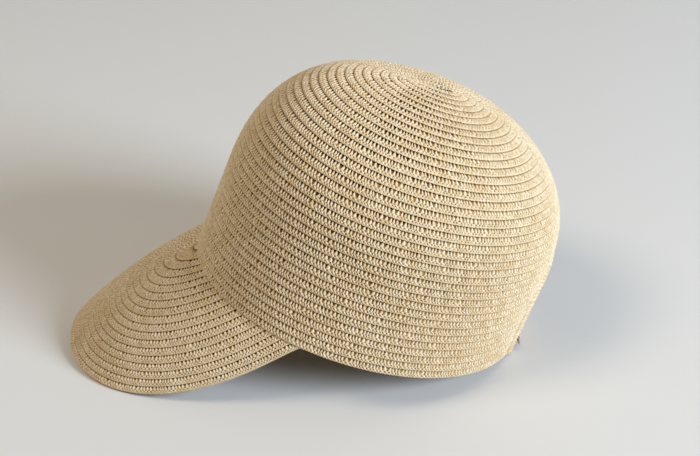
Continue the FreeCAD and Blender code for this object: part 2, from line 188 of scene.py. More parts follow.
def twistedPaperStraw():
    # Twisted paper yarn, plaited into flat braid: matt, pale and warm strands, with painted shade in the
    # holes between them and under each row's edge.
    material, tree, surface = newMaterial("twistedPaperStraw", paper)
    place = addNode(tree, "TexCoord", {}, {}, "Object")
    toneAndPaintedLight = addNode(tree, "Attribute", {"attribute_name": "toneAndPaintedLight"}, {}, "Fac")
    paintedShade = addNode(tree, "Attribute", {"attribute_name": "paintedShade"}, {}, "Fac")
    fibre = addNode(tree, "TexNoise", {}, {"Vector": place, **paper["fibre"]}, "Fac")
    patch = addNode(tree, "TexNoise", {}, {"Vector": place, **paper["patch"]}, "Fac")
    patchy = addNode(tree, "Math", multiplyAdd, {0: patch, 1: paper["patchShare"], 2: toneAndPaintedLight})
    fine = addNode(tree, "Math", clampedMultiplyAdd, {0: fibre, 1: paper["fibreShare"], 2: patchy})
    yarn = addNode(tree, "Mix", colours, {0: fine, 6: linear(paper["pale"]), 7: linear(paper["warm"])}, 2)
    # Painted shade: a hole, or the line under a row's edge, goes through brown to dark, as light that has
    # bounced between strands comes out warmer.
    shallow = addNode(tree, "Math", clampedMultiply, {0: paintedShade, 1: 2.0})
    deep = addNode(tree, "Math", clampedMultiplyAdd, {0: paintedShade, 1: 2.0, 2: -1.0})
    brown = addNode(tree, "Mix", colours, {0: shallow, 6: yarn, 7: linear(paper["shade"])}, 2)
    dark = addNode(tree, "Mix", colours, {0: deep, 6: brown, 7: linear(paper["hole"])}, 2)
    dull = addNode(tree, "Math", clampedMultiplyAdd, {0: paintedShade, 1: paper["dull"], 2: paper["roughness"]})
    relief = addNode(tree, "Bump", {}, {"Height": fibre, **paper["bump"]})
    tree.links.new(dark, surface.inputs["Base Color"])
    tree.links.new(dull, surface.inputs["Roughness"])
    tree.links.new(relief, surface.inputs["Normal"])
    return material


hide = {
    "pale": "#d6bd9c", "deep": "#b7966f", "cutEdge": "#c3a17c",
    "roughness": 0.5, "shine": 0.4,
    "grain": {"Scale": 1.0 / (0.9 * mm), "Detail": 4.0},  # real grain is finer, and would not show
    "cloud": {"Scale": 1.0 / (12.0 * mm), "Detail": 3.0},
    "grainShare": 0.3, "cloudShare": 0.6,
    "bump": {"Strength": 0.5, "Distance": 0.15 * mm},
}


def tannedLeather():
    # Vegetable-tanned leather: a soft sheen, a fine grain, cloudy tan, and a plain band along its cut edges.
    material, tree, surface = newMaterial("tannedLeather", hide)
    place = addNode(tree, "TexCoord", {}, {}, "Object")
    edge = addNode(tree, "Attribute", {"attribute_name": "edge"}, {}, "Fac")
    grain = addNode(tree, "TexNoise", {}, {"Vector": place, **hide["grain"]}, "Fac")
    cloud = addNode(tree, "TexNoise", {}, {"Vector": place, **hide["cloud"]}, "Fac")
    fine = addNode(tree, "Math", multiply, {0: grain, 1: hide["grainShare"]})
    mottle = addNode(tree, "Math", clampedMultiplyAdd, {0: cloud, 1: hide["cloudShare"], 2: fine})
    face = addNode(tree, "Mix", colours, {0: mottle, 6: linear(hide["pale"]), 7: linear(hide["deep"])}, 2)
    tint = addNode(tree, "Mix", colours, {0: edge, 6: face, 7: linear(hide["cutEdge"])}, 2)
    relief = addNode(tree, "Bump", {}, {"Height": grain, **hide["bump"]})
    tree.links.new(tint, surface.inputs["Base Color"])
    tree.links.new(relief, surface.inputs["Normal"])
    return material


ribbon = {
    "pale": "#d3c09a", "deep": "#b09868",
    "roughness": 0.75, "shine": 0.25,
    "rib": 0.9,  # millimetres from one rib to the next
    "fuzz": {"Scale": 1.0 / (0.6 * mm), "Detail": 3.0},
    # ribShare paints a highlight on the backs of the ribs.
    "fuzzShare": 0.5, "ribShare": -0.45,
    "bump": {"Strength": 0.8, "Distance": 0.25 * mm},
}


def grosgrainRibbon():
    # Grosgrain: fine ribs across the ribbon, with a painted highlight on their backs, and a flat woven edge
    # on each side.
    material, tree, surface = newMaterial("grosgrainRibbon", ribbon)
    place = addNode(tree, "TexCoord", {}, {}, "Object")
    run = addNode(tree, "Attribute", {"attribute_name": "run"}, {}, "Fac")
    edge = addNode(tree, "Attribute", {"attribute_name": "edge"}, {}, "Fac")
    turns = addNode(tree, "Math", multiply, {0: run, 1: fullTurn / ribbon["rib"]})
    wave = addNode(tree, "Math", {"operation": "SINE"}, {0: turns})
    rib = addNode(tree, "Math", multiplyAdd, {0: wave, 1: 0.5, 2: 0.5})
    inner = addNode(tree, "Math", {"operation": "SUBTRACT", "use_clamp": True}, {0: 1.0, 1: edge})
    high = addNode(tree, "Math", multiply, {0: rib, 1: inner})
    fuzz = addNode(tree, "TexNoise", {}, {"Vector": place, **ribbon["fuzz"]}, "Fac")
    ribHighlight = addNode(tree, "Math", multiply, {0: high, 1: ribbon["ribShare"]})
    toneAndPaintedLight = addNode(tree, "Math", clampedMultiplyAdd, {0: fuzz, 1: ribbon["fuzzShare"], 2: ribHighlight})
    tint = addNode(tree, "Mix", colours, {0: toneAndPaintedLight, 6: linear(ribbon["pale"]), 7: linear(ribbon["deep"])}, 2)
    relief = addNode(tree, "Bump", {}, {"Height": high, **ribbon["bump"]})
    tree.links.new(tint, surface.inputs["Base Color"])
    tree.links.new(relief, surface.inputs["Normal"])
    return material


# Brushed loop tape has a soft nap, moulded hook tape a coarser and darker stubble, and waxed thread looks
# almost smooth, with its twist as fine lumps. Their loops, hooks and fibres are drawn coarse enough to show.
nap = {"roughness": 0.85, "shine": 0.2}
loopTape = {**nap, "pale": "#c8b48e", "deep": "#8f7850", "size": 0.5 * mm, "height": 0.35 * mm}
hookTape = {**nap, "pale": "#b39c74", "deep": "#6f5a3a", "size": 0.8 * mm, "height": 0.5 * mm}
twine = {**nap, "pale": "#dccbab", "deep": "#b59d75", "size": 0.3 * mm, "height": 0.12 * mm}


def napOrTwist(name, look):
    # Lumps, paler where they stand up, with painted shade in the low places between them.
    material, tree, surface = newMaterial(name, look)
    place = addNode(tree, "TexCoord", {}, {}, "Object")
    lumpInputs = {"Vector": place, "Scale": 1.0 / look["size"], "Detail": 2.0}
    lumps = addNode(tree, "TexNoise", {}, lumpInputs, "Fac")
    tint = addNode(tree, "Mix", colours, {0: lumps, 6: linear(look["deep"]), 7: linear(look["pale"])}, 2)
    relief = addNode(tree, "Bump", {}, {"Height": lumps, "Strength": 1.0, "Distance": look["height"]})
    tree.links.new(tint, surface.inputs["Base Color"])
    tree.links.new(relief, surface.inputs["Normal"])
    return material


straw = twistedPaperStraw()
leather = tannedLeather()
grosgrain = grosgrainRibbon()
brushedLoops = napOrTwist("brushedLoopTape", loopTape)
mouldedHooks = napOrTwist("mouldedHookTape", hookTape)
waxedThread = napOrTwist("waxedThread", twine)
print("materials made")

# The braid, for the crown, the visor and the binding. Widths and lengths are in millimetres.
braid = {
    "pitch": 4.95,  # one row to the next
    "stitch": 2.1,  # one plaited loop to the next, along a row
    "lap": 0.6,  # how far a row's edge stands over the row below
    "scallop": (0.035, 0.2),  # depth and reach of the waves in a row's lower edge, as shares of the pitch
    "slowWave": (0.20, 1.9), "fastWave": (0.16, 0.83),  # waves in the stitches' widths: swing and length
    "columns": 8,  # of the mesh, in one stitch
    "most": 190000,  # triangles in one piece
    "seed": 11, "chances": 9001, "fewChances": 997,
}
# Across a row, from its lower edge to where the next row covers it: share of the pitch, share of the lap.
rowProfile = np.array((
    (0.05, -0.55), (-0.01, -0.10), (-0.05, 0.35), (-0.05, 0.75), (-0.01, 0.95), (0.05, 1.0), (0.11, 0.98),
    (0.17, 0.94), (0.24, 0.89), (0.31, 0.83), (0.38, 0.77), (0.45, 0.71), (0.52, 0.64), (0.59, 0.57),
    (0.66, 0.50), (0.73, 0.42), (0.80, 0.33), (0.87, 0.20), (0.94, 0.02), (1.02, -0.10),
))
# Widths along a row are in stitches, and places across it are shares of the row.
loop = {
    "height": 0.20,  # of a loop over the row
    "heights": (0.7, 0.5),  # share of that: the least, and what chance adds
    "hole": 1.05,  # depth of the holes between the loops
    "holes": (0.62, 0.38),
    "opens": 0.22,  # over how much of the row a hole opens
    "top": 0.20, "foot": 0.24,  # half width at the top, and what the foot adds to it
    "narrows": (0.98, -0.50),  # where the foot's share starts, and over how much of the row
    "widths": 0.10, "places": 0.24,  # how much chance changes the width and the place
    "lean": 0.8, "upright": 0.4,  # how much chance leans it, and the chance that leaves it upright
    "pivot": 0.7,  # where across the row it turns
    "dark": 0.60,  # how far up the loop's side the painted shade of the hole reaches
    # most painted shade in the holes between the loops
    "darkest": 0.85,
}
strand = {
    "height": 0.50,  # of the plaited strands
    "half": 0.36,  # half width
    "slant": 0.9,  # slope across the row
    "wander": 0.35,  # how much chance bends it
    "over": 0.6,  # how far one strand passes over another
    "floor": -0.6, "level": 0.8,  # lowest place between strands, and what counts as the row's face
    "dark": (0.95, -0.75), "darks": (0.3, 0.7),  # start and width of the painted shade between strands, the least and what chance adds
}
rolledEdge = {
    "height": 0.28,  # of the lumps on the lower edge
    "half": 0.45, "slant": 1.1,
    "start": 0.3, "wander": 0.4,  # place of a lump in its stitch, and how much chance shifts it
    "level": 0.8,
    # painted shade between the edge's lumps: start and width of its fade, and its most
    "dark": (0.35, -0.6), "darkest": 0.75,
}
zone = {
    "loops": (0.48, 0.12), "edge": (0.03, 0.08), "line": (0.84, 0.09),  # start and width of each zone's fade; line is painted shade where the next row laps over
    "gapChance": 61, "fallingChance": 500.0, "loopChance": 1000,  # so that each kind draws its own chances
}
# Colour of a strand, from pale at 0 to warm at 1: what each thing adds. loop is a painted highlight on the
# middle of each loop, low painted shade in the dips between crossing strands.
strandToneAndPaintedLight = {"least": 0.07, "own": 0.36, "loop": -0.08, "low": 0.16, "edge": 0.1}


def chanceTable(piece, stitches):
    # Four chances from 0 to 1 for each stitch.
    return np.random.default_rng(braid["seed"] + piece).random((stitches, 4))


def vary(pair, chance):
    # The least, and what chance adds to it.
    return pair[0] + pair[1] * chance


def bulge(value, half):
    # Round cross-section of a strand: 1 on its middle line and falling below 0 beside it.
    return np.maximum(1.0 - ((value - np.floor(value) - 0.5) / half) ** 2, -1.0)


def plaitLoops(place, across, own, beside, openness, notch):
    # Near the covered edge each strand turns back in a loop, narrow at the top, with a hole on either side
    # that gets painted shade.
    tilt = loop["lean"] * (own[..., 1] - loop["upright"]) * (across - loop["pivot"])
    middle = 0.5 + loop["places"] * (own[..., 0] - 0.5) + tilt
    half = loop["top"] + loop["foot"] * fade(across, *loop["narrows"]) + loop["widths"] * (own[..., 2] - 0.5)
    leg = np.clip(1.0 - ((place - middle) / half) ** 2, 0.0, 1.0)
    hole = openness * vary(loop["holes"], beside[..., 2]) * fade(across, notch, loop["opens"])
    rise = loop["height"] * vary(loop["heights"], own[..., 3]) * np.sqrt(leg)
    height = rise - loop["hole"] * hole * (1.0 - leg) ** 2
    return height, (1.0 - fade(leg, 0.0, loop["dark"])) * hole, leg


def plaitStrands(along, place, across, own, beside):
    # Below the loops the strands cross each other, over and under, with painted shade where they dip between
    # each other.
    wander = strand["wander"] * (own[..., 1] - 0.5) * (1.0 - np.abs(2.0 * place - 1.0))
    down = strand["slant"] * across * braid["pitch"] / braid["stitch"]
    rising, falling = along + down + wander, along - down + wander
    over = strand["over"] * np.sin(np.pi * rising) * np.sin(np.pi * falling)
    first, second = bulge(rising, strand["half"]) + over, bulge(falling, strand["half"]) - over
    top = np.maximum(first, second)
    height = strand["height"] * (np.maximum(top, strand["floor"]) - strand["level"])
    paintedShade = fade(top, *strand["dark"]) * vary(strand["darks"], beside[..., 1])
    owner = np.floor(np.where(first > second, rising, falling + zone["fallingChance"])).astype(int)
    return height, paintedShade, top, owner


def plaitEdge(along, across, own, beside):
    # The lower edge is rolled round, and each strand shows on it as a slanting lump, with painted shade
    # between the lumps.
    shift = rolledEdge["wander"] * (own[..., 0] - 0.5)
    lump = bulge(along + rolledEdge["slant"] * across + rolledEdge["start"] + shift, rolledEdge["half"])
    height = rolledEdge["height"] * (np.maximum(lump, 0.0) - rolledEdge["level"])
    return height, rolledEdge["darkest"] * fade(lump, *rolledEdge["dark"]) * beside[..., 3]


def weave(along, across, chance, openness, sewn):
    # Height in millimetres, painted shade, and colour with painted light in it, of the plait. along is in
    # stitches, across a share of the row.
    stitch = np.floor(along).astype(int)
    gap = np.floor(along + 0.5).astype(int)
    own = chance[stitch % len(chance)]
    beside = chance[(gap + zone["gapChance"]) % len(chance)]
    place = along - stitch
    loops, loopShade, leg = plaitLoops(place, across, own, beside, openness, sewn["notch"])
    plait, plaitShade, top, owner = plaitStrands(along, place, across, own, beside)
    edge, edgeShade = plaitEdge(along, across, own, beside)
    high = fade(across, *zone["loops"])
    low = 1.0 - fade(across, *zone["edge"])
    between = (1.0 - high) * (1.0 - low)
    height = high * loops + between * plait + low * edge
    # Painted shade in the holes between loops, between crossing strands and between the edge's lumps, and in
    # a line where the next row laps over.
    paintedShade = loop["darkest"] * high * loopShade + between * plaitShade + low * edgeShade
    paintedShade = np.clip(paintedShade + sewn["line"] * fade(across, *zone["line"]), 0.0, 1.0)
    owner = np.where(high > 0.5, stitch + zone["loopChance"], owner)
    toneAndPaintedLight = strandToneAndPaintedLight["least"] + strandToneAndPaintedLight["own"] * chance[owner % len(chance)][..., 3]
    # A painted highlight on the middle of each loop, and painted shade in the dips between crossing strands.
    toneAndPaintedLight += strandToneAndPaintedLight["loop"] * high * leg
    toneAndPaintedLight += strandToneAndPaintedLight["low"] * between * (1.0 - np.clip(top, 0.0, 1.0)) + strandToneAndPaintedLight["edge"] * low
    return height, paintedShade, toneAndPaintedLight


def scallop(along, across):
    # How far a row's lower edge draws in between two stitches, as a share of the row.
    depth, upTo = braid["scallop"]
    return depth * (0.5 - 0.5 * np.cos(fullTurn * along)) * np.clip(1.0 - across / upTo, 0.0, 1.0)


def uneven(along):
    # No two stitches are quite the same width.
    (slow, slowLength), (fast, fastLength) = braid["slowWave"], braid["fastWave"]
    return along + slow * np.sin(along / slowLength) + fast * np.sin(along / fastLength)


def plainLine(points, paintedShade, toneAndPaintedLight):
    # A line of the mesh that has no plait on it.
    return points, np.full(len(points), paintedShade), np.full(len(points), toneAndPaintedLight)


def rowCount(columns):
    # How many rows of this many columns one piece can hold.
    return max(1, int(braid["most"] / (2.0 * columns * len(rowProfile))))


# The crown: rows of braid from the level rim up to a straight fold at the tip.
crown = {
    "length": 204.0, "width": 172.0, "height": 140.0,
    "tip": 20.0,  # first straight fold of the braid
    "front": (54.0, 2.36, -0.08),  # height of the straight wall, fullness of the dome, share of lean
    "back": (48.0, 1.61, 0.015),
    "side": (64.0, 1.90, -0.11),
    "turn": 2.6,  # how suddenly the wall turns into the dome
    "below": 1.4,  # how steeply the wall runs on below the rim
    "wall": 2.0, "rows": 39,
    "level": 12.0,  # rows over which the spiral settles from the level rim
    "open": 0.92,  # how open its plait is at the sides
    "pull": 0.34,  # how much more open it is at the front, and less at the back
    "notch": 0.40,  # where the holes between its loops start, as a share of the row
    "line": 0.46,  # how dark the painted shade line is, where the next row laps over
    "hem": (0.2, 0.4),  # painted shade and colour of the rim's turned edge
    "samples": 400, "fewest": 160,  # points that measure a row, and the fewest columns of a piece
    "shortest": 8,  # stitches in a row
}
arch = {"width": 66.0, "height": 60.0, "clear": 0.8}  # clear is between the crown's rows and the opening
# The rim's turned edge, from inside: share of the way up the wall, distance in from its face.
rimProfile = ((0.002, 2.0), (-0.003, 1.5), (-0.004, 0.9))
riseSteps = {"rise": 301, "angle": 97, "share": 401}


def reach(half, shape, height, top):
    straight, fullness, leaning = shape
    rise = np.clip((height - straight) / (top - straight), 0.0, 1.0)
    return half * (1.0 + leaning * height / top) * (1.0 - rise ** crown["turn"]) ** (1.0 / fullness)


def crownOutline(height, inset):
    # Half width, middle and half length of the crown at a height and a distance in from its face.
    top = crown["height"] - inset
    level = np.clip(height, 0.0, top)
    tip = crown["tip"] / 2.0
    half = crown["length"] / 2.0 - inset - tip
    front = tip + reach(half, crown["front"], level, top)
    back = tip + reach(half, crown["back"], level, top)
    side = reach(crown["width"] / 2.0 - inset, crown["side"], level, top)
    return side, (back - front) / 2.0, (back + front) / 2.0


def crownPoint(angle, height, inset):
    # angle is 0 at the back, a quarter turn at the wearer's left and half a turn at the front.
    side, middle, half = crownOutline(height, inset)
    level = np.minimum(height, crown["height"] - inset)
    return np.stack(np.broadcast_arrays(side * np.sin(angle), middle + half * np.cos(angle), level), -1)


def riseTable(angles, shares):
    # For each angle, the rise that lies at each share of the way up the wall.
    rise = np.linspace(0.0, 1.0, riseSteps["rise"])
    found = []
    for angle in angles:
        length = runLength(crownPoint(angle, crown["height"] * np.sin(0.5 * np.pi * rise), 0.0))
        found.append(np.interp(shares, length / length[-1], rise))
    return np.array(found)


rises = riseTable(np.linspace(0.0, fullTurn, riseSteps["angle"]), np.linspace(0.0, 1.0, riseSteps["share"]))


def crownSurface(angle, share, inset):
    # The point of the crown at an angle and a share of the way up the wall to the tip.
    x = np.clip(angle / fullTurn, 0.0, 1.0) * (rises.shape[0] - 1)
    y = np.clip(share, 0.0, 1.0) * (rises.shape[1] - 1)
    i = np.minimum(x.astype(int), rises.shape[0] - 2)
    j = np.minimum(y.astype(int), rises.shape[1] - 2)
    x, y = x - i, y - j
    low = rises[i, j] * (1.0 - x) + rises[i + 1, j] * x
    high = rises[i, j + 1] * (1.0 - x) + rises[i + 1, j + 1] * x
    height = (crown["height"] - inset) * np.sin(0.5 * np.pi * (low * (1.0 - y) + high * y))
    return crownPoint(angle, height + np.minimum(share, 0.0) * crown["height"] * crown["below"], inset)


def spiral(level, turn):
    # How far up the braid is, as a share: level rows at the rim, one spiral above the opening.
    return (level + smooth(level / crown["level"]) * turn) / crown["rows"]


def outsideArch(points):
    centre = 0.25 * (points[:-1, :-1] + points[:-1, 1:] + points[1:, 1:] + points[1:, :-1])
    half = arch["width"] / 2.0 + arch["clear"]
    x, z = np.abs(centre[..., 0]), centre[..., 2] - (arch["height"] - arch["width"] / 2.0)
    return (centre[..., 1] < 0.0) | np.where(z < 0.0, x > half, np.hypot(x, z) > half)


def braidPiece(name, lines, bands, opening=False):
    # lines holds, for each line of the mesh, its points, painted shade and colour with painted light in it.
    # opening cuts the arch out.
    points, paintedShades, tonesAndPaintedLight = (np.array(each) for each in zip(*lines))
    keep = outsideArch(points) if opening else None
    piece = gridMesh(name, toPart(points), straw, "cap", keep, {"paintedShade": paintedShades, "toneAndPaintedLight": tonesAndPaintedLight}, bands)
    return piece


def crownRows():
    chance = chanceTable(0, braid["chances"])
    done, row, number = 0, 0, 0
    while row < crown["rows"]:
        turn = np.linspace(0.0, 1.0, crown["samples"])
        around = runLength(crownSurface(fullTurn * turn, spiral(row + 0.5, turn), 0.0))[-1]
        columns = max(crown["fewest"], int(around / braid["stitch"] * braid["columns"]))
        count = rowCount(columns)
        turn = np.linspace(0.0, 1.0, columns + 1)
        angle = fullTurn * turn
        openness = crown["open"] - crown["pull"] * np.cos(angle)
        lines = []
        if row == 0:
            for share, inset in rimProfile:
                edge = crownSurface(angle, np.full(columns + 1, share), inset)
                lines.append(plainLine(edge, *crown["hem"]))
        for step in range(row, min(crown["rows"], row + count)):
            length = runLength(crownSurface(angle, spiral(step + 0.5, turn), 0.0))
            stitches = max(crown["shortest"], round(length[-1] / braid["stitch"]))
            along = uneven(done + stitches * length / length[-1])
            done += stitches
            for across, rise in rowProfile:
                height, paintedShade, toneAndPaintedLight = weave(along, across, chance, openness, crown)
                share = np.minimum(spiral(step + across + scallop(along, across), turn), 1.0)
                lines.append((crownSurface(angle, share, -(braid["lap"] * rise + height)), paintedShade, toneAndPaintedLight))
        number += 1
        bands = max(1, round(math.sqrt(around / (count * braid["pitch"]))))
        piece = braidPiece(f"crownRows{number}", lines, bands, opening=True)
        if number == 1:
            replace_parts(piece, "crown_braid")
        row += count
    print("crown rows made:", number, "pieces,", done, "stitches")


inside = {
    "columns": 1201, "stitches": 281.0,  # in one turn
    "sunk": 0.6, "lap": 0.5, "relief": 0.3,  # the rows show less on this side
    "shadow": 0.6,  # share of the darkness of its holes
    "pieces": 4, "bands": 4,
    # Across a row: share of the pitch, share of the lap.
    "profile": ((0.0, 0.9), (0.08, 1.0), (0.3, 0.75), (0.5, 0.5), (0.7, 0.3), (0.86, 0.1), (0.96, -0.1)),
}


def crownInside():
    chance = chanceTable(1, braid["fewChances"])
    turn = np.linspace(0.0, 1.0, inside["columns"])
    lines = []
    for row in range(crown["rows"]):
        along = uneven(inside["stitches"] * (turn + row))
        for across, rise in inside["profile"]:
            height, paintedShade, toneAndPaintedLight = weave(along, across, chance, crown["open"], crown)
            share = np.minimum(spiral(row + across, turn), 1.0)
            inset = crown["wall"] - inside["sunk"] + inside["lap"] * rise + inside["relief"] * height
            lines.append((crownSurface(fullTurn * turn, share, inset), inside["shadow"] * paintedShade, toneAndPaintedLight))
    for number, part in enumerate(np.array_split(np.arange(len(lines) - 1), inside["pieces"])):
        braidPiece(f"crownInside{number + 1}", lines[part[0]:part[-1] + 2], inside["bands"], opening=True)


crownRows()
crownInside()

# The visor: nested rows that follow its edge inwards and end under the crown's rim.
visor = {
    "length": 102.0, "thickness": 1.7,  # length at the middle, from the seam to the edge
    "spread": 68.0,  # degrees from its middle to each end
    "slope": 53.6, "endSlope": 82.3, "slopePower": 2.34,  # degrees down, at its middle and at its ends
    "fan": 0.45,  # how much its lines spread out
    "swell": 4.8,  # height of its arch from the seam to the edge
    "edgePower": 3.06, "edgeRound": 0.72,  # how square and how full its outline is
    "tuck": 3.0,  # how far the rows run on under the crown's edge
    "seam": 0.15,  # between the visor and the crown's rim over it
    "pitch": 4.45,  # its rows lie a little closer than the crown's
    "open": 0.95, "notch": 0.53, "line": 0.75,  # pressed flat: short holes, and a clear painted shade line between two rows
    "sunk": 0.3,  # how far its rows lie in its face
    # painted shade and colour of the edge where it turns under
    "hem": (0.1, 0.4),
    "bands": 5,  # of the picture map
    "lines": 700, "edgeSamples": 4001, "runSamples": 141, "fewest": 60,
    "round": (4.0, 12.0),  # how far in from the edge the rows start to round off, and over what length
    "last": 0.4,  # what stays free where the two sides meet
    "firstStitch": 4000.0, "stitchStep": 37.0,  # so that each row draws its own chances
}
# The edge seen from below: distance in from it, height over the visor's face.
visorEdge = ((1.4, -visor["thickness"]), (0.4, -visor["thickness"]), (-0.2, -1.1))


def visorReach(share):
    # How far out the visor goes, where share is -1 at its right end and 1 at its left end.
    hollow = np.maximum(0.0, 1.0 - np.abs(share) ** visor["edgePower"])
    return visor["length"] * hollow ** (1.0 / visor["edgeRound"])


def visorPoint(share, run, lift):
    # run is the distance out from the seam, and lift the height over the visor's face.
    angle = share * math.radians(visor["spread"])
    full = visorReach(share)
    turn = visor["endSlope"] - visor["slope"]
    fall = np.radians(visor["slope"] + turn * np.abs(share) ** visor["slopePower"])
    fan = visor["fan"] * angle
    zero = np.zeros_like(angle)
    outward = np.stack([np.sin(fan), -np.cos(fan), zero], -1)
    down = np.stack([zero, zero, zero - 1.0], -1)
    line = outward * np.cos(fall)[..., None] + down * np.sin(fall)[..., None]
    up = outward * np.sin(fall)[..., None] - down * np.cos(fall)[..., None]
    root = crownPoint(np.pi - angle, zero, crown["wall"] / 4.0) + visor["seam"] * down
    part = np.clip(run / np.maximum(full, 0.01), 0.0, 1.0)
    rise = 4.0 * part * (1.0 - part) * visor["swell"] * full / visor["length"] + lift
    return root + line * run[..., None] + up * rise[..., None]


def visorLines():
    # Fan lines that cut the edge and the seam into even lengths, and along each the distance to the edge.
    shares = np.sin(np.linspace(-0.5 * np.pi, 0.5 * np.pi, visor["edgeSamples"]))
    none = np.zeros(len(shares))
    rim, seam = visorPoint(shares, visorReach(shares), none), visorPoint(shares, none, none)
    length = runLength(rim) + runLength(seam)
    shares = np.interp(np.linspace(0.0, length[-1], visor["lines"]), length, shares)
    edge = visorPoint(shares, visorReach(shares), np.zeros(len(shares)))
    part = np.linspace(0.0, 1.0, visor["runSamples"])
    runs = -visor["tuck"] + (visorReach(shares)[:, None] + visor["tuck"]) * part
    points = visorPoint(np.broadcast_to(shares[:, None], runs.shape), runs, np.zeros(runs.shape))
    gap = np.empty(runs.shape)
    weight = np.linalg.norm(np.gradient(edge, axis=0), axis=1)
    for line, row in enumerate(points):
        square = ((row[:, None] - edge[None]) ** 2).sum(-1) + 0.01
        nearest = np.sqrt(square.min(1))
        # Away from the edge, an average that favours the nearest part rounds the rows where the two sides
        # meet. The divisor makes it the distance itself beside a straight edge, and the 0.01 above keeps it
        # finite on the edge.
        rounded = ((weight / square ** 6).sum(1) / (63.0 * np.pi / 256.0)) ** (-1.0 / 11.0)
        gap[line] = nearest + (rounded - nearest) * fade(nearest, *visor["round"])
    gap[:, -1] = 0.0
    return shares, runs, np.maximum.accumulate(gap[:, ::-1], 1)[:, ::-1]


visorShares, visorRuns, visorGaps = visorLines()
visorCount = int(visorGaps.max() / visor["pitch"]) + 1
print("visor lines made, for", visorCount, "rows")


def visorCurve(inset):
    # The line this far in from the edge: fan shares, runs and points, between its crossings of the seam.
    level = max(inset, 0.0)
    runs = np.array([np.interp(level, gap[::-1], run[::-1]) for run, gap in zip(visorRuns, visorGaps)])
    there = runs > 0.01 - visor["tuck"]
    shares, runs = visorShares[there], runs[there] - min(inset, 0.0)
    return shares, runs, visorPoint(shares, runs, np.zeros(len(runs)))


def rowMiddle(row, across):
    # The line that a row's stitches are counted along, from its middle, so that they stand square to the row.
    curve = visorCurve((row + across) * visor["pitch"])[2]
    length = runLength(curve)
    ahead = np.gradient(curve, axis=0)
    ahead = ahead / (np.linalg.norm(ahead, axis=1, keepdims=True) + 1e-9)
    half = 0.5 * length[-1] / braid["stitch"]
    return {"row": row, "curve": curve, "length": length, "ahead": ahead, "half": half}


def rowLine(middle, across, places):
    # Fan shares and runs of the line at this place across the row, at these stitches along it.
    shares, runs, points = visorCurve((middle["row"] + across) * visor["pitch"])
    near = ((points[:, None] - middle["curve"][None]) ** 2).sum(-1).argmin(1)
    run = middle["length"][near] + ((points - middle["curve"][near]) * middle["ahead"][near]).sum(1)
    found = np.maximum.accumulate(run / braid["stitch"] - middle["half"])
    return np.interp(places, found, shares), np.interp(places, found, runs)


def visorRows():
    chance = chanceTable(2, braid["chances"])
    last = visorGaps.max() - visor["last"]
    row, number = 0, 0
    while row < visorCount:
        columns = max(visor["fewest"], int(2.0 * rowMiddle(row, 0.5)["half"] * braid["columns"]))
        count = rowCount(columns)
        lines = []
        for step in range(row, min(visorCount, row + count)):
            middle = rowMiddle(step, 0.5 if step + 1 < visorCount else 0.05)
            places = np.linspace(-middle["half"], middle["half"], columns)
            along = uneven(visor["firstStitch"] + visor["stitchStep"] * step + places)
            if step == 0:
                for inset, lift in visorEdge:
                    shares, runs = rowLine(middle, inset / visor["pitch"], places)
                    hem = visorPoint(shares, runs, np.full(columns, lift))
                    lines.append(plainLine(hem, *visor["hem"]))
            for across, rise in rowProfile:
                if (step + across) * visor["pitch"] > last:
                    across = last / visor["pitch"] - step
                height, paintedShade, toneAndPaintedLight = weave(along, across, chance, visor["open"], visor)
                shares, runs = rowLine(middle, across, places)
                if step == 0:
                    runs = runs - visor["pitch"] * scallop(along, across)
                points = visorPoint(shares, runs, braid["lap"] * rise + height - visor["sunk"])
                lines.append((points, paintedShade, toneAndPaintedLight))
        number += 1
        piece = braidPiece(f"visorRows{number}", lines, visor["bands"])
        if number == 1:
            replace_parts(piece, "visor_braid")
        row += count
    print("visor rows made:", number, "pieces")


underside = {
    "above": 0.45, "lap": 0.7, "relief": 0.3,  # the rows show less on this side
    "shadow": 0.6, "bands": 4,
    "stitchStep": 29.0,
    "mirror": 1.1,  # the rows lap the other way here
    "profile": ((0.12, 0.0), (0.30, 0.18), (0.5, 0.34), (0.7, 0.5), (0.9, 0.62), (1.05, 0.75), (1.1, 0.3)),
}


def visorUnderside():
    chance = chanceTable(3, braid["fewChances"])
    columns = int(rowMiddle(0, 0.5)["half"] * braid["columns"])
    lines = []
    for row in range(visorCount - 1):
        middle = rowMiddle(row, 0.5)
        places = np.linspace(-middle["half"], middle["half"], columns)
        along = uneven(visor["firstStitch"] + underside["stitchStep"] * row + places)
        for across, rise in underside["profile"]:
            height, paintedShade, toneAndPaintedLight = weave(along, underside["mirror"] - across, chance, visor["open"], visor)
            shares, runs = rowLine(middle, across, places)
            lift = underside["above"] - visor["thickness"] - underside["lap"] * rise
            points = visorPoint(shares, runs, lift - underside["relief"] * height)
            lines.append((points, underside["shadow"] * paintedShade, toneAndPaintedLight))
    braidPiece("visorUnderside", lines, underside["bands"])


visorRows()
visorUnderside()

# One row of braid, sewn round the opening and turned in over its edge.
binding = {
    "needle": (3.1, 0.45),  # row of needle holes, drawn only as painted shade: distance out from the opening, half width
    "needleStep": 0.6,  # needle holes in one stitch of the braid
    # painted shade in the needle holes: the least, what the place along adds, and its most
    "needleDark": (0.4, 0.6), "needleDarkest": 0.85,
    "shadow": 0.5, "relief": 0.5, "bands": 3,
    "wave": 0.12, "waveFrom": 5.0,  # height of the waves in the outer edge, and how far out they start
}
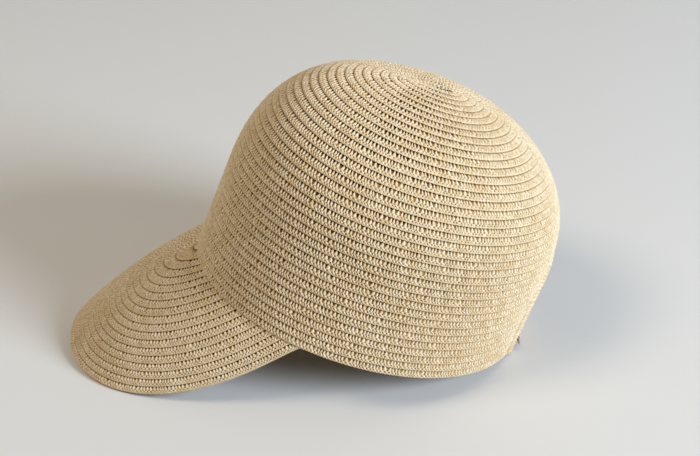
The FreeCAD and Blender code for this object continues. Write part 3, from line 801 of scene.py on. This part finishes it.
# Distance out from the opening, height over the crown's face, place across the braid.
bindingProfile = (
    (0.8, -2.2, 0.0), (-0.3, -2.2, 0.02), (-0.95, -1.8, 0.04), (-1.25, -0.9, 0.06), (-1.3, 0.4, 0.08),
    (-1.1, 1.4, 0.1), (-0.5, 1.95, 0.13), (0.2, 2.1, 0.2), (0.9, 2.1, 0.3), (1.6, 2.05, 0.38),
    (2.3, 2.0, 0.46), (2.8, 1.6, 0.5), (3.1, 1.35, 0.55), (3.4, 1.6, 0.6), (4.0, 1.9, 0.66),
    (4.6, 1.8, 0.74), (5.2, 1.6, 0.82), (5.7, 1.3, 0.86), (6.0, 0.7, 0.88), (6.0, -0.2, 0.9),
)


def archPoint(along, out, inset):
    # along is 0 at the left end and 1 at the right end, out is away from the opening.
    radius = arch["width"] / 2.0
    spring = arch["height"] - radius
    total = 2.0 * spring + np.pi * radius
    run = along * total
    turn = np.clip((run - spring) / radius, 0.0, np.pi)
    x = (radius + out) * np.cos(turn)
    z = spring + (radius + out) * np.sin(turn)
    z = np.where(run < spring, run, np.where(run > total - spring, total - run, z))
    side, middle, half = crownOutline(z, inset)
    y = middle + half * np.sqrt(np.clip(1.0 - (x / side) ** 2, 0.0, 1.0))
    return np.stack(np.broadcast_arrays(x, y, z), -1)


def archBinding():
    radius = arch["width"] / 2.0
    stitches = round((2.0 * (arch["height"] - radius) + np.pi * radius) / braid["stitch"])
    turn = np.linspace(0.0, 1.0, stitches * braid["columns"] + 1)
    along = uneven(turn * stitches)
    chance = chanceTable(4, braid["fewChances"])
    needleAlong = 0.5 + 0.5 * np.cos(fullTurn * turn * stitches * binding["needleStep"])
    needlePlace, needleHalf = binding["needle"]
    lines = []
    for out, rise, across in bindingProfile:
        height, paintedShade, toneAndPaintedLight = weave(along, across, chance, crown["open"] - crown["pull"], crown)
        # Painted shade: the plait's own, or that of the needle holes where it is darker.
        needleAcross = max(0.0, 1.0 - abs(out - needlePlace) / needleHalf)
        needle = needleAcross * vary(binding["needleDark"], needleAlong)
        wave = binding["wave"] * np.cos(fullTurn * along) if out > binding["waveFrom"] else 0.0
        points = archPoint(turn, out + wave, -(rise + binding["relief"] * height))
        lines.append((points, np.maximum(binding["shadow"] * paintedShade, binding["needleDarkest"] * needle), toneAndPaintedLight))
    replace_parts(braidPiece("archBinding", lines, binding["bands"]), "arch_binding")


archBinding()
print("binding made")

# The leather strap, the ribbon behind the rim and the stitches that hold them. low is how high a strip's
# lower side is, edge the rounding of its sides, and border the part of its face that has the edge's look:
# how far in it reaches, and over what width it fades.
strap = {
    "width": 17.0, "thickness": 1.4, "low": 3.0,
    "edge": 0.42, "border": (0.84, 0.42),
    "corner": 3.4,  # rounding of the free ends
    "foldInset": 3.5, "bindingThickness": 1.3, "patch": 1.08, "clearance": 0.3,
    "sewn": 11.0, "turnsUpright": 4.0, "comesOut": 9.5, "overlap": 22.0, "tail": 7.4,  # degrees round the rim
    "startShort": 1.0,  # degrees that the short strap starts beyond the overlap
    "lift": 3.5,  # how far the free end stands out
    "bend": 2.2,  # half the length at the fold
    "shortStep": 1.0, "longStep": 0.6,
}
sweatband = {
    "width": 26.0, "thickness": 0.9, "low": 1.5,
    "edge": 0.3, "border": (1.6, 0.3),
    "ease": math.radians(6.0),  # over which it comes down from the strap
    "end": 0.5,  # degrees from where the strap turns upright
    "step": 1.5,
}
thread = {
    "radius": 0.28, "length": 3.6, "gap": 0.16,
    "spacing": 7.2,  # one stitch to the next on the ribbon
    "points": 9,  # along a stitch and round it
    "rise": 0.15, "dip": (0.45, 6), "taper": (0.55, 8),  # amount and power
    "above": 3.0,  # from the ribbon's lower edge
    "start": 2.0,  # degrees from the end of the ribbon's slope
    "margin": 1.0, "between": 0.6,  # on a strap, free at its sides and between stitches
    "rows": (0.5, 0.8),  # places of the two rows on a strap's sewn end
}
rimRadius = {"strip": 95.0, "thread": 92.0}  # of a circle near enough to the rim to space things by
endSteps = np.array((0.0, 0.15, 0.5, 1.0, 1.6, 2.3)) / rimRadius["strip"]
endSwell = (0.0, 0.72, 1.0)  # how full a strip is at its first three lines
cornerPoints = 5  # on each rounded corner of a strip's section
seat = crown["wall"] + strap["clearance"]
archEdge = math.asin(arch["width"] / crown["width"])
sewnEnd = archEdge + math.radians(strap["sewn"])
foldWidth = arch["width"] - 2.0 * (strap["bindingThickness"] + strap["foldInset"])
foldAngle = math.asin(foldWidth / crown["width"])
overlapStart = math.radians(strap["comesOut"]) - foldAngle
overlapEnd = overlapStart + math.radians(strap["overlap"])
tailEnd = overlapEnd + math.radians(strap["tail"])


def strapPoint(angle, height, inset):
    # On the crown where the strap is sewn, and on an upright line where it crosses the opening.
    turned = archEdge + math.radians(strap["turnsUpright"])
    free = 1.0 - fade(np.abs(angle), foldAngle, turned - foldAngle)
    low = np.full_like(height, strap["low"])
    rise = height - low
    upright = crownPoint(angle, low, inset) + np.stack([0.0 * rise, -rise * math.tan(lean), rise], -1)
    return crownPoint(angle, height, inset) * (1.0 - free)[..., None] + upright * free[..., None]


def shortFace(angle):
    return seat + 0.0 * angle


def longFace(angle):
    step = 2.0 * strap["patch"] + strap["thickness"] + strap["clearance"]
    out = step * fade(angle, -foldAngle, math.radians(strap["comesOut"]))
    return seat - out - strap["lift"] * fade(angle, overlapEnd, tailEnd - overlapEnd)


def ribbonFace(angle):
    fromBack = np.minimum(angle, fullTurn - angle)
    overStrap = 1.0 - fade(fromBack, sewnEnd, sweatband["ease"])
    return seat + overStrap * (strap["thickness"] + strap["clearance"])


def stripMesh(name, angles, pointAt, face, size, material, corners=(0.0, 0.0)):
    # A strip with rounded edges, closed at both ends. corners rounds its two ends as seen from outside.
    thickness, edge, (border, blur) = size["thickness"], size["edge"], size["border"]
    middle = size["low"] + size["width"] / 2.0
    run = runLength(pointAt(angles, np.full_like(angles, middle), face(angles)))
    quarter = np.linspace(0.0, 0.5 * np.pi, cornerPoints)
    bend = np.concatenate([quarter, quarter + 0.5 * np.pi, quarter + np.pi, quarter + 1.5 * np.pi, [0.0]])
    corner, side = np.ones(cornerPoints), np.ones(2 * cornerPoints)
    upper = np.concatenate([corner, -side, corner, [1.0]])
    outer = np.concatenate([side, -side, [1.0]])
    lines, edges, runs = [], [], []
    for number, (angle, length) in enumerate(zip(angles, run)):
        half = size["width"] / 2.0
        for rounding, left in zip(corners, (length, run[-1] - length)):
            if left < rounding:
                half -= rounding - math.sqrt(rounding ** 2 - (rounding - left) ** 2)
        swell = endSwell[min(number, len(angles) - 1 - number, 2)]
        height = middle + swell * (upper * (half - edge) + edge * np.cos(bend))
        depth = thickness / 2.0 - swell * (outer * (thickness / 2.0 - edge) + edge * np.sin(bend))
        lines.append(pointAt(np.full_like(height, angle), height, face(np.full_like(height, angle)) + depth))
        edges.append(fade(np.abs(height - middle) - half, -border, blur))
        runs.append(np.full_like(height, length))
    values = {"edge": np.array(edges), "run": np.array(runs)}
    return gridMesh(name, toPart(np.array(lines)), material, values=values, closed=True)


def stations(start, end, spacing):
    # Angles along the rim, closer together at both ends.
    count = int(abs(end - start) * rimRadius["strip"] / spacing)
    even = np.linspace(start, end, count)
    even = even[(even > start + endSteps[-1]) & (even < end - endSteps[-1])]
    return np.concatenate([start + endSteps, even, (end - endSteps)[::-1]])


def straps():
    shortAngles = stations(overlapStart + math.radians(strap["startShort"]), sewnEnd, strap["shortStep"])
    short = stripMesh("leatherShortStrap", shortAngles, strapPoint, shortFace, strap, leather,
                      corners=(strap["corner"], 0.0))
    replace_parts(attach(short, "cap"), "short_strap")
    longAngles = stations(-sewnEnd, tailEnd, strap["longStep"])
    long = stripMesh("leatherLongStrap", longAngles, strapPoint, longFace, strap, leather,
                     corners=(0.0, strap["corner"]))
    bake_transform(long)
    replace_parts(long, "strap_root", "long_strap")
    for node, material in (("loop_patch", brushedLoops), ("hook_patch", mouldedHooks)):
        patch = frame["nodes"][node]
        patch.data.materials.clear()
        patch.data.materials.append(material)


def ribbonBand():
    start = archEdge + math.radians(strap["turnsUpright"] + sweatband["end"])
    angles = stations(start, fullTurn - start, sweatband["step"])
    band = stripMesh("sweatbandRibbon", angles, crownPoint, ribbonFace, sweatband, grosgrain)
    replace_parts(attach(band, "cap"), "sweatband")


def unit(vectors):
    return vectors / np.linalg.norm(vectors, axis=-1, keepdims=True)


def stitchRow(name, node, angles, levels, upright):
    # Stitches that lie on the ribbon and dip into it at both ends.
    along = np.linspace(-1.0, 1.0, thread["points"])
    around = np.linspace(0.0, fullTurn, thread["points"])[:, None]
    angle, level = (np.repeat(each[:, None], thread["points"], 1) for each in (angles, levels))
    if upright:
        level = level + 0.5 * thread["length"] * along
    else:
        angle = angle + 0.5 * thread["length"] * along / rimRadius["thread"]
    (dip, dipPower), (taper, taperPower) = thread["dip"], thread["taper"]
    above = thread["gap"] + thread["rise"] - dip * along ** dipPower
    face = ribbonFace(angle) + sweatband["thickness"]
    path = crownPoint(angle, level, face + above)
    inward = unit(crownPoint(angle, level, face + above + 1.0) - path)
    ahead = unit(np.gradient(path, axis=1))
    aside = np.cross(ahead, inward)
    radius = thread["radius"] * (1.0 - taper * along ** taperPower)[:, None, None]
    spokes = inward[:, :, None] * np.cos(around) + aside[:, :, None] * np.sin(around)
    rings = path[:, :, None] + radius * spokes
    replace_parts(gridMesh(name, toPart(rings), waxedThread, "cap"), node)


def stitches():
    start = sewnEnd + sweatband["ease"] + math.radians(thread["start"])
    turn = fullTurn - 2.0 * start
    mean = 0.25 * (crown["length"] + crown["width"])
    count = int(turn * mean / thread["spacing"])
    angles = start + turn * (np.arange(count) + 0.5) / count
    levels = np.full(count, sweatband["low"] + thread["above"])
    stitchRow("sweatbandStitches", "sweatband_stitches", angles, levels, False)
    inner = strap["width"] - 2.0 * thread["margin"]
    count = int(inner / (thread["length"] + thread["between"]))
    levels = strap["low"] + thread["margin"] + (np.arange(count) + 0.5) * inner / count
    sides = [archEdge + row * (sewnEnd - archEdge) for row in thread["rows"]]
    angles = np.repeat(np.array(sides + [fullTurn - side for side in sides]), count)
    stitchRow("strapStitches", "strap_stitches", angles, np.tile(levels, 2 * len(sides)), True)


straps()
ribbonBand()
stitches()
print("strap and ribbon made")

# Floor, light and camera. Lengths are in metres and angles in degrees from here on, in the part's frame.
floorShape = {
    "colour": "#d2d0cc", "roughness": 0.9, "shine": 0.2,
    "near": 1.7, "far": -0.9, "half": 3.0,  # where it starts, where it turns up, half its width
    "bend": 0.5, "bendSteps": 12, "bendStart": 0.1,
    "top": 1.7,
}
shot = {
    "aim": (0.0, 0.0249, 0.0720), "azimuth": 88.0, "elevation": 32.03, "distance": 0.824, "roll": -0.9,
    "lens": 70.42, "sensor": 36.0, "nearest": 0.01,
}
lamps = {
    "keyLamp": {
        "azimuth": 147.0, "elevation": 24.0, "distance": 2.4,
        "width": 0.96, "watts": 88.0, "colour": "#e2efff",
    },
    "fillLamp": {
        "azimuth": 20.0, "elevation": 58.0, "distance": 1.8,
        "width": 0.7, "watts": 12.5, "colour": "#fff1dc",
    },
}
room = {"colour": "#f2ece2", "strength": 0.25}


def makeFloor():
    # Painted plaster: pale and without a shine, curved up behind the cap so that no corner shows.
    material, tree, surface = newMaterial("paintedPlasterPale", floorShape)
    surface.inputs["Base Color"].default_value = linear(floorShape["colour"])
    far, bend, half = floorShape["far"], floorShape["bend"], floorShape["half"]
    steps = [(floorShape["near"], 0.0), (far, 0.0)]
    for t in np.linspace(floorShape["bendStart"], math.pi / 2, floorShape["bendSteps"]):
        steps.append((far - bend * math.sin(t), bend - bend * math.cos(t)))
    steps.append((far - bend, floorShape["top"]))
    points = [(x, y, z) for x, z in steps for y in (-half, half)]
    faces = [(2 * i, 2 * i + 1, 2 * i + 3, 2 * i + 2) for i in range(len(steps) - 1)]
    mesh = bpy.data.meshes.new("floor")
    mesh.from_pydata(points, [], faces)
    mesh.materials.append(material)
    floor = bpy.data.objects.new("floor", mesh)
    bpy.context.scene.collection.objects.link(floor)


def facing(name, data, place):
    # A lamp or camera that looks at the aim from this place round it.
    a, e = math.radians(place["azimuth"]), math.radians(place["elevation"])
    direction = Vector((math.sin(a) * math.cos(e), -math.cos(a) * math.cos(e), math.sin(e)))
    item = bpy.data.objects.new(name, data)
    item.location = Vector(shot["aim"]) + direction * place["distance"]
    item.rotation_euler = (-direction).to_track_quat("-Z", "Y").to_euler()
    bpy.context.scene.collection.objects.link(item)
    return item


def makeLamps():
    for name, lamp in lamps.items():
        data = bpy.data.lights.new(name, "AREA")
        data.shape = "DISK"
        data.size = lamp["width"]
        data.energy = lamp["watts"]
        data.color = linear(lamp["colour"])[:3]
        facing(name, data, lamp)
    world = bpy.data.worlds.new("softRoom")
    world.use_nodes = True
    background = world.node_tree.nodes["Background"]
    background.inputs["Color"].default_value = linear(room["colour"])
    background.inputs["Strength"].default_value = room["strength"]
    bpy.context.scene.world = world
    bpy.context.scene.view_settings.view_transform = "Standard"


def makeCamera():
    data = bpy.data.cameras.new("camera")
    data.lens = shot["lens"]
    data.sensor_width = shot["sensor"]
    data.clip_start = shot["nearest"]
    camera = facing("camera", data, shot)
    camera.rotation_euler.rotate_axis("Z", math.radians(shot["roll"]))
    bpy.context.scene.camera = camera


makeFloor()
makeLamps()
makeCamera()
print("stage made")
